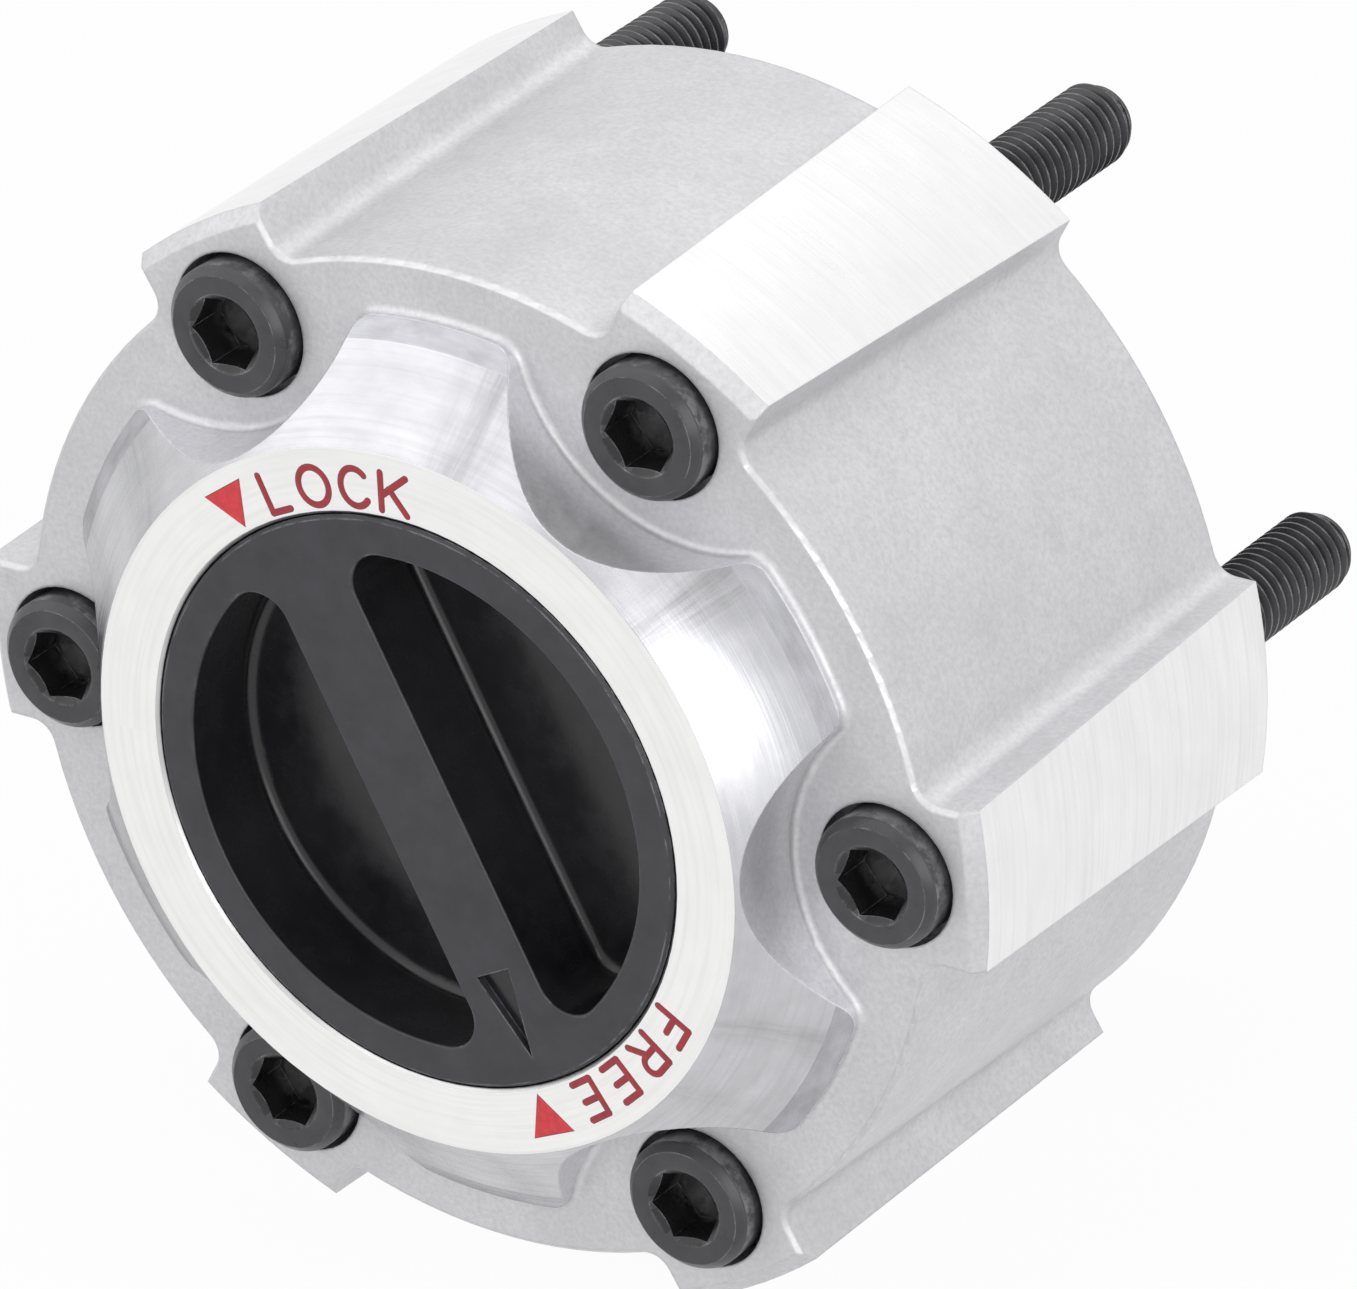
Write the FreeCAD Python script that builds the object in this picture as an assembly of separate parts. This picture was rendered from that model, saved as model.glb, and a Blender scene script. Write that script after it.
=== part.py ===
import FreeCAD, Part
import math
import os

# Manual locking hub: a turn of the front dial joins or frees the wheel hub and the axle shaft.
#
# The hub's axis is Y. The dial looks towards -Y, and the origin is the centre of the rear
# mounting face, so the screws reach past the origin on the +Y side. All sizes are millimetres.
# Angles around the axis are measured from +X towards +Z, as seen when facing the dial.
# The model stands in its FREE position. LOCK is a turn of the dial away.

# Body casting
body_length = 60.0
nose_height = 11.2
body_margin = 5.45
body_draft = 1.9
rim_chamfer = 0.5

# Screw bosses on the outside of the body
screw_count = 6
screw_circle_r = 55.75
boss_margin = 12.25
boss_shoulder = 1.8
boss_front_width = 19.8
boss_rear_width = 24.2
boss_root_fillet = 3.0

# Flared nose with a scallop round each screw
ring_width = 8.0
ring_chamfer = 0.6
flare_r = 52.8
flare_back = 8.3
flare_curve_r = 50.0
lip_r = 55.0
lip_back = 9.9
scallop_r = 23.6
scallop_reach = 43.6
lobe_corner_r = 3.0
nose_foot_fillet = 0.9

# Socket head cap screws, M10 x 85
screw_r = 5.0
shank_r = 4.8
screw_length = 85.0
thread_length = 31.5
head_r = 8.0
head_height = 10.0
head_edge = 0.9
socket_flats = 8.0
socket_depth = 5.5
socket_lead = 0.45
socket_angle = 5.0
screw_tip_chamfer = 1.1
counterbore_depth = 7.0
counterbore_gap = 0.75
screw_hole_gap = 0.25

# Dial
dial_r = 35.0
dial_gap = 0.2
dial_thickness = 13.5
dial_back_gap = 0.5
dial_rim_width = 4.6
dial_edge = 0.4
grip_width = 11.2
pocket_depth = 10.9
pocket_corner_r = 4.2
pocket_edge_r = 0.35
pocket_floor_fillet = 1.4
dial_angle = -63.5
pointer_tip_r = 32.0
pointer_length = 10.8
pointer_width = 5.0
pointer_depth = 1.0
stem_r = 10.0
stem_flats = 17.0
stem_gap = 0.05

# Dial seal and detent
seal_section_r = 1.12
seal_groove_width = 3.0
seal_back = 4.0
detent_ball_r = 2.5
detent_back = 9.4
detent_reach = 0.9
detent_depth = 0.4
detent_spring_length = 11.0
detent_wire_r = 0.3
detent_turns = 5

# Sections in each turn of a coil spring
coil_steps = 16

# Web between the dial and the gear space, and the cam behind it
web_thickness = 4.5
washer_thickness = 0.9
washer_rim = 7.0
cam_r = 18.0
cam_length = 17.0
cam_groove_depth = 3.0
lock_turn = 172.0
lock_travel = 8.0
pin_r = 2.5
pin_back = 4.4
pin_gap = 0.2
play = 0.05

# Snap rings
cam_ring_thickness = 1.2
cam_ring_width = 3.0
gear_ring_thickness = 2.0
gear_ring_width = 4.0
bearing_ring_thickness = 2.5
bearing_ring_width = 4.6
ring_groove_depth = 1.2

# Follower
follower_gap = 0.4
follower_wall = 4.6
follower_length = 9.0
follower_flange = 2.2
follower_front_gap = 0.3
follower_lugs = 6

# Splines between the housing, the follower and the clutch ring
spline_count = 36
spline_root_r = 45.0
spline_depth = 2.4
spline_groove_width = 4.2
spline_gap = 0.2

# Clutch ring and its springs
clutch_length = 11.5
clutch_front_pocket = 3.0
clutch_rear_pocket = 6.0
clutch_pocket_width = 4.0
dog_count = 24
dog_groove_r = 36.0
dog_depth = 3.0
dog_groove_width = 4.9
dog_gap = 0.3
dog_chamfer = 0.8
shift_wire_r = 0.75
shift_turns = 3
return_wire_r = 0.8
return_turns = 3
seat_thickness = 1.0
seat_lip = 2.0
free_gap = 1.2

# Drive gear that slides on the axle shaft
gear_tooth_length = 7.0
gear_shoulder_r = 31.5
gear_shoulder_length = 2.15
gear_nose_r = 26.0
gear_nose_length = 1.7
gear_pocket_r = 20.0
gear_pocket_depth = 4.0
gear_rear_inset = 0.5
axle_spline_count = 30
axle_minor_r = 16.0
axle_spline_depth = 1.6
axle_groove_width = 1.8

# Ball bearing, 55 x 90 x 11
bearing_bore_r = 27.5
bearing_width = 11.0
race_thickness = 5.9
ball_r = 4.35
ball_gap = 0.1
ball_count = 14
cage_thickness = 1.9
cage_width = 9.4
fit_gap = 0.02

# Rear register recess
recess_r = 47.5
recess_depth = 3.0
ring_land = 2.0

# Stations along the axis, worked out from the sizes above
body_front = -body_length
front = body_front - nose_height
seat_y = body_front + counterbore_depth
screw_tip = seat_y + screw_length
thread_front = screw_tip - thread_length
dial_back = front + dial_thickness
web_front = dial_back + dial_back_gap
web_rear = web_front + web_thickness
cam_front = web_rear + washer_thickness + 2 * play
cam_rear = cam_front + cam_length
cam_ring_rear = cam_rear + play + cam_ring_thickness
stem_end = cam_ring_rear + ring_groove_depth
pin_y = cam_front + pin_back
follower_front = web_rear + follower_front_gap
flange_rear = follower_front + follower_flange
bearing_ring_rear = -recess_depth - ring_land
bearing_ring_front = bearing_ring_rear - bearing_ring_thickness
bearing_rear = bearing_ring_front - play
bearing_front = bearing_rear - bearing_width
seat_front = bearing_front - seat_thickness
tooth_rear = bearing_front - gear_shoulder_length
tooth_front = tooth_rear - gear_tooth_length
clutch_rear = tooth_front - free_gap
clutch_front = clutch_rear - clutch_length
gear_front = tooth_front - gear_nose_length
gear_rear = -recess_depth - gear_rear_inset

# Radii worked out from the sizes above
body_front_r = screw_circle_r + body_margin
body_rear_r = body_front_r + body_draft
boss_r = screw_circle_r + boss_margin
ring_r = dial_r + dial_gap + ring_width
dial_bore_r = dial_r + dial_gap
counterbore_r = head_r + counterbore_gap
screw_hole_r = screw_r + screw_hole_gap
pocket_r = dial_r - dial_rim_width
seal_groove_r = dial_bore_r - 2 * seal_section_r - 2 * fit_gap
spline_tip_r = spline_root_r - spline_depth
dog_tip_r = dog_groove_r - dog_depth
clutch_root_r = spline_tip_r - spline_gap
clutch_tip_r = spline_root_r - spline_gap
clutch_pocket_outer_r = clutch_root_r - 1.0
clutch_pocket_inner_r = clutch_pocket_outer_r - clutch_pocket_width
spring_r = clutch_pocket_outer_r - clutch_pocket_width / 2
follower_inner_r = cam_r + follower_gap
follower_outer_r = follower_inner_r + follower_wall
bearing_outer_r = spline_root_r
ball_circle_r = (bearing_bore_r + bearing_outer_r) / 2
gear_journal_r = bearing_bore_r - fit_gap
ball_y = bearing_front + bearing_width / 2
detent_y = front + detent_back
detent_ball_at = dial_r + detent_reach - detent_ball_r
scallop_at = scallop_reach + scallop_r

ORIGIN = FreeCAD.Vector(0, 0, 0)
AXIS = FreeCAD.Vector(0, 1, 0)


def at(radius, angle, y):
    """The point at a radius and an angle in degrees round the hub axis."""
    turn = math.radians(angle)
    return FreeCAD.Vector(radius * math.cos(turn), y, radius * math.sin(turn))


def turned(points):
    """A solid of revolution about the hub axis, from (radius, y) corners."""
    corners = [FreeCAD.Vector(radius, y, 0) for radius, y in points]
    return Part.Face(Part.makePolygon(corners + corners[:1])).revolve(ORIGIN, AXIS, 360)


def disc(radius, y0, y1):
    return Part.makeCylinder(radius, y1 - y0, FreeCAD.Vector(0, y0, 0), AXIS)


def tube(outer, inner, y0, y1):
    return disc(outer, y0, y1).cut(disc(inner, y0, y1))


def rotated(shape, angle):
    """A copy of a shape, carried round the hub axis from +X towards +Z."""
    copy = shape.copy()
    copy.rotate(ORIGIN, AXIS, -angle)
    return copy


def around(shape, count, start=0.0):
    return [rotated(shape, start + i * 360.0 / count) for i in range(count)]


def long_edges(shape, wanted):
    """The edges whose middle point passes a test."""
    found = []
    for edge in shape.Edges:
        middle = edge.valueAt((edge.FirstParameter + edge.LastParameter) / 2)
        if wanted(edge, middle):
            found.append(edge)
    return found


def toothed(root_r, tip_r, count, root_width, tip_width, y0, y1, phase=0.0):
    """A prism with straight flanked teeth, the first of them at the angle phase."""
    root_half = math.degrees(math.asin(root_width / 2 / root_r))
    tip_half = math.degrees(math.asin(tip_width / 2 / tip_r))
    pitch = 360.0 / count
    edges = []
    for i in range(count):
        middle = phase + i * pitch
        foot_in = at(root_r, middle - root_half, y0)
        tip_in = at(tip_r, middle - tip_half, y0)
        tip_out = at(tip_r, middle + tip_half, y0)
        foot_out = at(root_r, middle + root_half, y0)
        gap_middle = at(root_r, middle + pitch / 2, y0)
        next_foot = at(root_r, middle + pitch - root_half, y0)
        edges.append(Part.LineSegment(foot_in, tip_in).toShape())
        edges.append(Part.Arc(tip_in, at(tip_r, middle, y0), tip_out).toShape())
        edges.append(Part.LineSegment(tip_out, foot_out).toShape())
        edges.append(Part.Arc(foot_out, gap_middle, next_foot).toShape())
    return Part.Face(Part.Wire(edges)).extrude(FreeCAD.Vector(0, y1 - y0, 0))


def helix_wire(radius, pitch, height, y0):
    """A left-handed helix along the hub axis that starts at angle 0 and climbs towards +Y."""
    helix = Part.makeHelix(pitch, height, radius, 0, True)
    helix.rotate(ORIGIN, FreeCAD.Vector(1, 0, 0), -90)
    helix.translate(FreeCAD.Vector(0, y0, 0))
    return Part.Wire(helix.Edges)


def coil(radius, wire_r, turns, y0, y1):
    """A helical spring of round wire that just fills the length from y0 to y1."""
    ring = Part.Wire(Part.makeCircle(wire_r, at(radius, 0, y0 + wire_r), FreeCAD.Vector(0, 0, 1)))
    steps = math.ceil(turns * coil_steps)
    rise = (y1 - y0 - 2 * wire_r) / steps
    sections = []
    for i in range(steps + 1):
        section = rotated(ring, 360.0 * turns * i / steps)
        section.translate(FreeCAD.Vector(0, rise * i, 0))
        sections.append(section)
    return Part.makeLoft(sections, True, True)


def body_blank():
    """The drafted body with its six bosses, turned to one size across the bosses."""
    cone = turned([(0, body_front), (body_front_r, body_front), (body_rear_r, 0), (0, 0)])
    inner = screw_circle_r - head_r
    outer = boss_r + boss_shoulder
    sections = []
    for y, width in ((body_front, boss_front_width), (0, boss_rear_width)):
        corners = [FreeCAD.Vector(inner, y, -width / 2), FreeCAD.Vector(outer, y, -width / 2),
                   FreeCAD.Vector(outer, y, width / 2), FreeCAD.Vector(inner, y, width / 2)]
        sections.append(Part.makePolygon(corners + corners[:1]))
    boss = Part.makeLoft(sections, True, True)
    blank = cone.multiFuse(around(boss, screw_count)).removeSplitter()

    def at_root(edge, middle):
        radius = math.hypot(middle.x, middle.z)
        return edge.BoundBox.YLength > body_length / 2 and body_front_r - 1 < radius < body_rear_r + 1

    blank = blank.makeFillet(boss_root_fillet, long_edges(blank, at_root))
    machined = turned([(0, body_front), (boss_r - boss_shoulder, body_front),
                       (boss_r, body_front + boss_shoulder), (boss_r, 0), (0, 0)])
    blank = blank.common(machined)

    def at_rim(edge, middle):
        on_face = abs(middle.y - body_front) < 0.01 and edge.BoundBox.YLength < 0.01
        return on_face and math.hypot(middle.x, middle.z) < boss_r - boss_shoulder - 0.1

    return blank.makeChamfer(rim_chamfer, long_edges(blank, at_rim))


def nose():
    """The flared nose: a turned flare on a lobed outline, with a scallop round each screw."""
    outline = disc(lip_r, front, body_front)
    scallop = Part.makeCylinder(scallop_r, nose_height, FreeCAD.Vector(scallop_at, front, 0), AXIS)
    lobed = outline.cut(Part.makeCompound(around(scallop, screw_count)))

    def is_upright(edge, middle):
        return abs(edge.Length - nose_height) < 0.01 and math.hypot(middle.x, middle.z) > lip_r - 0.5

    lobed = lobed.makeFillet(lobe_corner_r, long_edges(lobed, is_upright))
    start = FreeCAD.Vector(ring_r + ring_chamfer, front + ring_chamfer, 0)
    end = FreeCAD.Vector(flare_r, front + flare_back, 0)
    along = end - start
    sag = along.Length ** 2 / 8 / flare_curve_r
    inward = FreeCAD.Vector(-along.y, along.x, 0).normalize() * sag
    points = [FreeCAD.Vector(0, front, 0), FreeCAD.Vector(ring_r, front, 0), start]
    edges = [Part.LineSegment(a, b).toShape() for a, b in zip(points, points[1:])]
    edges.append(Part.Arc(start, (start + end) * 0.5 + inward, end).toShape())
    points = [end, FreeCAD.Vector(lip_r, front + lip_back, 0), FreeCAD.Vector(lip_r, body_front, 0),
              FreeCAD.Vector(0, body_front, 0), FreeCAD.Vector(0, front, 0)]
    edges.extend(Part.LineSegment(a, b).toShape() for a, b in zip(points, points[1:]))
    flare = Part.Face(Part.Wire(edges)).revolve(ORIGIN, AXIS, 360)
    return lobed.common(flare)


def detent_track():
    """The groove in the dial bore that the detent ball runs in, with a notch for each position."""
    groove_r = detent_ball_r + ball_gap
    track = Part.makeTorus(detent_ball_at, groove_r, FreeCAD.Vector(0, detent_y, 0), AXIS)
    stops = (dial_angle, dial_angle - lock_turn)
    notches = [Part.makeSphere(groove_r, at(detent_ball_at + detent_depth, stop, detent_y)) for stop in stops]
    return track.multiFuse(notches)


def housing():
    solid = body_blank().fuse(nose()).removeSplitter()

    def at_foot(edge, middle):
        on_face = abs(middle.y - body_front) < 0.01 and edge.BoundBox.YLength < 0.01
        return on_face and scallop_reach - 1 < math.hypot(middle.x, middle.z) < lip_r + 0.1

    solid = solid.makeFillet(nose_foot_fillet, long_edges(solid, at_foot))
    hole = disc(screw_hole_r, body_front, 0).fuse(disc(counterbore_r, body_front, seat_y))
    hole.translate(FreeCAD.Vector(screw_circle_r, 0, 0))
    mouth = turned([(0, front), (dial_bore_r + dial_edge, front), (dial_bore_r, front + dial_edge),
                    (dial_bore_r, web_front), (0, web_front)])
    groove_r = bearing_outer_r + ring_groove_depth + spline_gap
    rear = turned([(0, seat_front), (bearing_outer_r, seat_front), (bearing_outer_r, bearing_ring_front - play),
                   (groove_r, bearing_ring_front - play), (groove_r, bearing_ring_rear + play),
                   (bearing_outer_r, bearing_ring_rear + play), (bearing_outer_r, -recess_depth),
                   (recess_r, -recess_depth), (recess_r, 0), (0, 0)])
    splines = toothed(spline_tip_r, spline_root_r, spline_count, spline_groove_width,
                      spline_groove_width, web_rear, seat_front)
    hollow = [mouth, disc(stem_r + stem_gap, web_front, web_rear), splines, rear, detent_track()]
    return solid.cut(Part.makeCompound(around(hole, screw_count))).cut(hollow).removeSplitter()


def cap_screws():
    """The six screws, as a group."""
    head_top = seat_y - head_height
    profile = [(0, head_top), (head_r - head_edge, head_top), (head_r, head_top + head_edge), (head_r, seat_y),
               (shank_r, seat_y), (shank_r, thread_front - (screw_r - shank_r)), (screw_r, thread_front),
               (screw_r, screw_tip - screw_tip_chamfer),
               (screw_r - screw_tip_chamfer, screw_tip), (0, screw_tip)]
    screw = turned(profile)
    corner_r = socket_flats / math.sqrt(3)
    corners = [at(corner_r, socket_angle + 60 * i, head_top) for i in range(6)]
    socket = Part.Face(Part.makePolygon(corners + corners[:1])).extrude(FreeCAD.Vector(0, socket_depth, 0))
    point = Part.makeCone(corner_r - 0.5, 0, corner_r / 2, FreeCAD.Vector(0, head_top + socket_depth, 0), AXIS)
    lead = Part.makeCone(corner_r + socket_lead / 2, corner_r - socket_lead, socket_lead,
                         FreeCAD.Vector(0, head_top, 0), AXIS)
    screw = screw.cut([socket, point, lead])
    screw.translate(FreeCAD.Vector(screw_circle_r, 0, 0))
    return Part.makeCompound(around(screw, screw_count))


def pocket():
    """One finger pocket of the dial, on the +Z side of a grip that lies along X."""
    floor = front + pocket_depth
    half = disc(pocket_r, front, floor)
    beyond = Part.makeBox(4 * dial_r, pocket_depth, 2 * dial_r, FreeCAD.Vector(-2 * dial_r, front, grip_width / 2))
    shape = half.common(beyond)
    upright = long_edges(shape, lambda edge, middle: abs(edge.Length - pocket_depth) < 0.01
                         and edge.BoundBox.YLength > pocket_depth / 2 and abs(middle.x) > dial_r / 2)
    shape = shape.makeFillet(pocket_corner_r, upright)
    around_floor = long_edges(shape, lambda edge, middle: abs(middle.y - floor) < 0.01)
    return shape.makeFillet(pocket_floor_fillet, around_floor)


def pointer():
    """The triangular recess in the grip, with its apex towards the rim at +X."""
    base = pointer_tip_r - pointer_length
    corners = [FreeCAD.Vector(pointer_tip_r, front, 0), FreeCAD.Vector(base, front, pointer_width / 2),
               FreeCAD.Vector(base, front, -pointer_width / 2)]
    return Part.Face(Part.makePolygon(corners + corners[:1])).extrude(FreeCAD.Vector(0, pointer_depth, 0))


def flatted(radius, flats, y0, y1):
    """A round bar with two flats that face +Z and -Z."""
    return disc(radius, y0, y1).common(
        Part.makeBox(4 * radius, y1 - y0, flats, FreeCAD.Vector(-2 * radius, y0, -flats / 2)))


def dial():
    seal_y = front + seal_back
    body = turned([(0, front), (dial_r - dial_edge, front), (dial_r, front + dial_edge), (dial_r, dial_back),
                   (stem_r, dial_back), (stem_r, cam_front), (0, cam_front)])
    stem = flatted(stem_r, stem_flats, cam_front, stem_end)
    groove_y = cam_rear + play / 2
    neck_r = stem_flats / 2 - 0.1
    groove = tube(stem_r + 1, neck_r, groove_y, groove_y + cam_ring_thickness + play)
    seal_groove = tube(dial_r + 1, seal_groove_r, seal_y - seal_groove_width / 2, seal_y + seal_groove_width / 2)
    hole_end = detent_ball_at - detent_ball_r - detent_spring_length
    ball_hole = Part.makeCylinder(detent_ball_r + ball_gap, dial_r, FreeCAD.Vector(hole_end, detent_y, 0),
                                  FreeCAD.Vector(1, 0, 0))
    body = body.fuse(stem).cut([pocket(), rotated(pocket(), 180)]).removeSplitter()
    rim = long_edges(body, lambda edge, middle: abs(middle.y - front) < 0.01 and edge.BoundBox.YLength < 0.01
                     and math.hypot(middle.x, middle.z) < pocket_r + 0.5)
    body = body.makeFillet(pocket_edge_r, rim)
    return rotated(body.cut([groove, seal_groove, ball_hole, pointer()]), dial_angle)


def dial_o_ring():
    middle_r = seal_groove_r + seal_section_r + fit_gap
    return Part.makeTorus(middle_r, seal_section_r, FreeCAD.Vector(0, front + seal_back, 0), AXIS)


def detent_ball():
    return Part.makeSphere(detent_ball_r, at(detent_ball_at, dial_angle, detent_y))


def detent_spring():
    """The spring behind the detent ball, along the grip."""
    inner_end = detent_ball_at - detent_ball_r - detent_spring_length
    spring = coil(detent_ball_r - detent_wire_r - ball_gap, detent_wire_r, detent_turns,
                  play, detent_spring_length - play)
    spring.rotate(ORIGIN, FreeCAD.Vector(0, 0, 1), -90)
    spring.translate(FreeCAD.Vector(inner_end, detent_y, 0))
    return rotated(spring, dial_angle)


def shift_cam():
    """The drum on the dial's stem, with a helical groove for each follower pin."""
    drum = disc(cam_r, cam_front, cam_rear)
    bore = rotated(flatted(stem_r + stem_gap, stem_flats + 2 * stem_gap, cam_front, cam_rear), dial_angle)
    floor_r = cam_r - cam_groove_depth
    half = (pin_r + pin_gap) / math.cos(math.atan(lock_travel / (floor_r * math.radians(lock_turn))))
    section = Part.makePolygon([FreeCAD.Vector(floor_r, pin_y - half, 0), FreeCAD.Vector(cam_r + 1, pin_y - half, 0),
                                FreeCAD.Vector(cam_r + 1, pin_y + half, 0), FreeCAD.Vector(floor_r, pin_y + half, 0),
                                FreeCAD.Vector(floor_r, pin_y - half, 0)])
    path = helix_wire(cam_r, lock_travel * 360.0 / lock_turn, lock_travel, pin_y)
    groove = path.makePipeShell([section], True, True)
    first = Part.makeCylinder(pin_r + pin_gap, cam_groove_depth + 1, FreeCAD.Vector(floor_r, pin_y, 0),
                              FreeCAD.Vector(1, 0, 0))
    last = first.copy()
    last.translate(FreeCAD.Vector(0, lock_travel, 0))
    cutter = [groove, first, rotated(last, lock_turn)]
    drum = drum.cut(bore)
    for shape in cutter:
        drum = drum.cut(shape).cut(rotated(shape, 180))
    return drum


def thrust_washer():
    return tube(stem_r + washer_rim, stem_r + stem_gap, web_rear + play, web_rear + play + washer_thickness)


def snap_ring(inner, outer, y0, y1, inward):
    """A split retaining ring with a pair of lugs, each with a plier hole, at its opening."""
    ring = tube(outer, inner, y0, y1)
    lug_r = (outer - inner) * 0.75
    lug_at = inner if inward else outer
    step = math.degrees(1.6 * lug_r / lug_at)
    for side in (-step, step):
        lug = Part.makeCylinder(lug_r, y1 - y0, at(lug_at, 90 + side, y0), AXIS)
        ring = ring.fuse(lug)
    for side in (-step, step):
        ring = ring.cut(Part.makeCylinder(lug_r * 0.45, y1 - y0, at(lug_at, 90 + side, y0), AXIS))
    opening = Part.makeBox(lug_r, y1 - y0, 2 * outer, FreeCAD.Vector(-lug_r / 2, y0, 0))
    return ring.cut(opening).removeSplitter()


def cam_snap_ring():
    inner = stem_flats / 2 - 0.05
    return snap_ring(inner, inner + cam_ring_width, cam_rear + play, cam_ring_rear, False)


def gear_snap_ring():
    inner = gear_journal_r - ring_groove_depth + fit_gap
    return snap_ring(inner, inner + gear_ring_width, bearing_rear + play, bearing_rear + play + gear_ring_thickness,
                     False)


def bearing_snap_ring():
    outer = bearing_outer_r + ring_groove_depth
    return snap_ring(outer - bearing_ring_width, outer, bearing_ring_front, bearing_ring_rear, True)


def follower():
    """The keyed plate that the cam pushes along the housing splines."""
    sleeve = disc(follower_outer_r, follower_front, follower_front + follower_length)
    plate = disc(clutch_root_r, follower_front, flange_rear)
    tooth = spline_groove_width - 2 * spline_gap
    lug = Part.makeBox(clutch_tip_r - follower_outer_r, follower_flange, tooth,
                       FreeCAD.Vector(follower_outer_r, follower_front, -tooth / 2))
    solid = sleeve.fuse([plate] + around(lug, follower_lugs)).removeSplitter()
    window_r = (clutch_pocket_inner_r - follower_outer_r) / 2 - 1.5
    window_at = (clutch_pocket_inner_r + follower_outer_r) / 2
    window = Part.makeCylinder(window_r, follower_flange, FreeCAD.Vector(window_at, follower_front, 0), AXIS)
    bore = disc(follower_inner_r, follower_front, follower_front + follower_length)
    pin_hole = Part.makeCylinder(pin_r, 2 * follower_outer_r, FreeCAD.Vector(-follower_outer_r, pin_y, 0),
                                 FreeCAD.Vector(1, 0, 0))
    return solid.cut([bore, pin_hole] + around(window, follower_lugs, 30))


def follower_pin(angle):
    inner = cam_r - cam_groove_depth + pin_gap
    pin = Part.makeCylinder(pin_r - fit_gap, follower_outer_r - inner, FreeCAD.Vector(inner, pin_y, 0),
                            FreeCAD.Vector(1, 0, 0))
    return rotated(pin, angle)


def clutch_ring():
    """The sliding ring that is splined to the housing and grips the drive gear when locked."""
    tooth = spline_groove_width - 2 * spline_gap
    outside = toothed(clutch_root_r, clutch_tip_r, spline_count, tooth, tooth, clutch_front, clutch_rear)
    inside = toothed(dog_tip_r, dog_groove_r, dog_count, dog_groove_width, dog_groove_width,
                     clutch_front, clutch_rear)
    lead = turned([(0, clutch_rear), (dog_tip_r + dog_chamfer, clutch_rear),
                   (dog_tip_r, clutch_rear - dog_chamfer), (0, clutch_rear - dog_chamfer)])
    front_pocket = tube(clutch_pocket_outer_r, clutch_pocket_inner_r, clutch_front, clutch_front + clutch_front_pocket)
    rear_pocket = tube(clutch_pocket_outer_r, clutch_pocket_inner_r, clutch_rear - clutch_rear_pocket, clutch_rear)
    return outside.cut([inside, lead, front_pocket, rear_pocket])


def shift_spring():
    return coil(spring_r, shift_wire_r, shift_turns, flange_rear + play, clutch_front + clutch_front_pocket - play)


def return_spring():
    return coil(spring_r, return_wire_r, return_turns, clutch_rear - clutch_rear_pocket + play, seat_front - play)


def spring_seat():
    return tube(bearing_outer_r - fit_gap, spring_r - seat_lip, seat_front + fit_gap, bearing_front - fit_gap)


def drive_gear():
    """The inner gear: dog teeth in front, a bearing journal behind, and the axle splines inside."""
    tooth = dog_groove_width - 2 * dog_gap
    teeth = toothed(dog_tip_r - dog_gap, dog_groove_r - dog_gap, dog_count, tooth, tooth, tooth_front, tooth_rear)
    tip_r = dog_groove_r - dog_gap
    pointed = turned([(0, tooth_front), (tip_r - dog_chamfer, tooth_front), (tip_r, tooth_front + dog_chamfer),
                      (tip_r, tooth_rear), (0, tooth_rear)])
    solid = teeth.common(pointed)
    solid = solid.fuse([disc(gear_nose_r, gear_front, tooth_front), disc(gear_shoulder_r, tooth_rear, bearing_front),
                        disc(gear_journal_r, bearing_front, gear_rear)]).removeSplitter()
    bore = toothed(axle_minor_r, axle_minor_r + axle_spline_depth, axle_spline_count, axle_groove_width,
                   axle_groove_width, gear_front, gear_rear)
    pocket_cut = disc(gear_pocket_r, gear_front, gear_front + gear_pocket_depth)
    ring_groove = tube(gear_journal_r + 1, gear_journal_r - ring_groove_depth, bearing_rear,
                       bearing_rear + gear_ring_thickness + 2 * play)
    return solid.cut([bore, pocket_cut, ring_groove])


def race(inner, outer):
    """One bearing race, with the groove that its side of the balls runs in."""
    groove = Part.makeTorus(ball_circle_r, ball_r + ball_gap, FreeCAD.Vector(0, ball_y, 0), AXIS)
    return tube(outer, inner, bearing_front, bearing_rear).cut(groove)


def bearing_cage():
    middle = ball_circle_r
    ring = tube(middle + cage_thickness / 2, middle - cage_thickness / 2, ball_y - cage_width / 2,
                ball_y + cage_width / 2)
    hole = Part.makeCylinder(ball_r + ball_gap, 2 * cage_thickness, FreeCAD.Vector(middle - cage_thickness, ball_y, 0),
                             FreeCAD.Vector(1, 0, 0))
    return ring.cut(around(hole, ball_count))


nodes = {
    "housing": housing(),
    "cap_screws": cap_screws(),
    "dial": dial(),
    "dial_o_ring": dial_o_ring(),
    "detent_ball": detent_ball(),
    "detent_spring": detent_spring(),
    "cam_thrust_washer": thrust_washer(),
    "shift_cam": shift_cam(),
    "cam_snap_ring": cam_snap_ring(),
    "follower": follower(),
    "follower_pin_1": follower_pin(0),
    "follower_pin_2": follower_pin(180),
    "shift_spring": shift_spring(),
    "clutch_ring": clutch_ring(),
    "return_spring": return_spring(),
    "spring_seat": spring_seat(),
    "drive_gear": drive_gear(),
    "gear_snap_ring": gear_snap_ring(),
    "bearing_outer_race": race(bearing_outer_r - race_thickness, bearing_outer_r - fit_gap),
    "bearing_inner_race": race(bearing_bore_r, bearing_bore_r + race_thickness),
    "bearing_cage": bearing_cage(),
    "bearing_snap_ring": bearing_snap_ring(),
}
for number in range(ball_count):
    place = at(ball_circle_r, number * 360.0 / ball_count, ball_y)
    nodes["bearing_ball_%02d" % (number + 1)] = Part.makeSphere(ball_r, place)

os.makedirs("parts", exist_ok=True)
for name, shape in nodes.items():
    shape.exportStep("parts/%s.step" % name)
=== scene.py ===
import math

import bpy
from mathutils import Matrix, Vector


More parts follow.
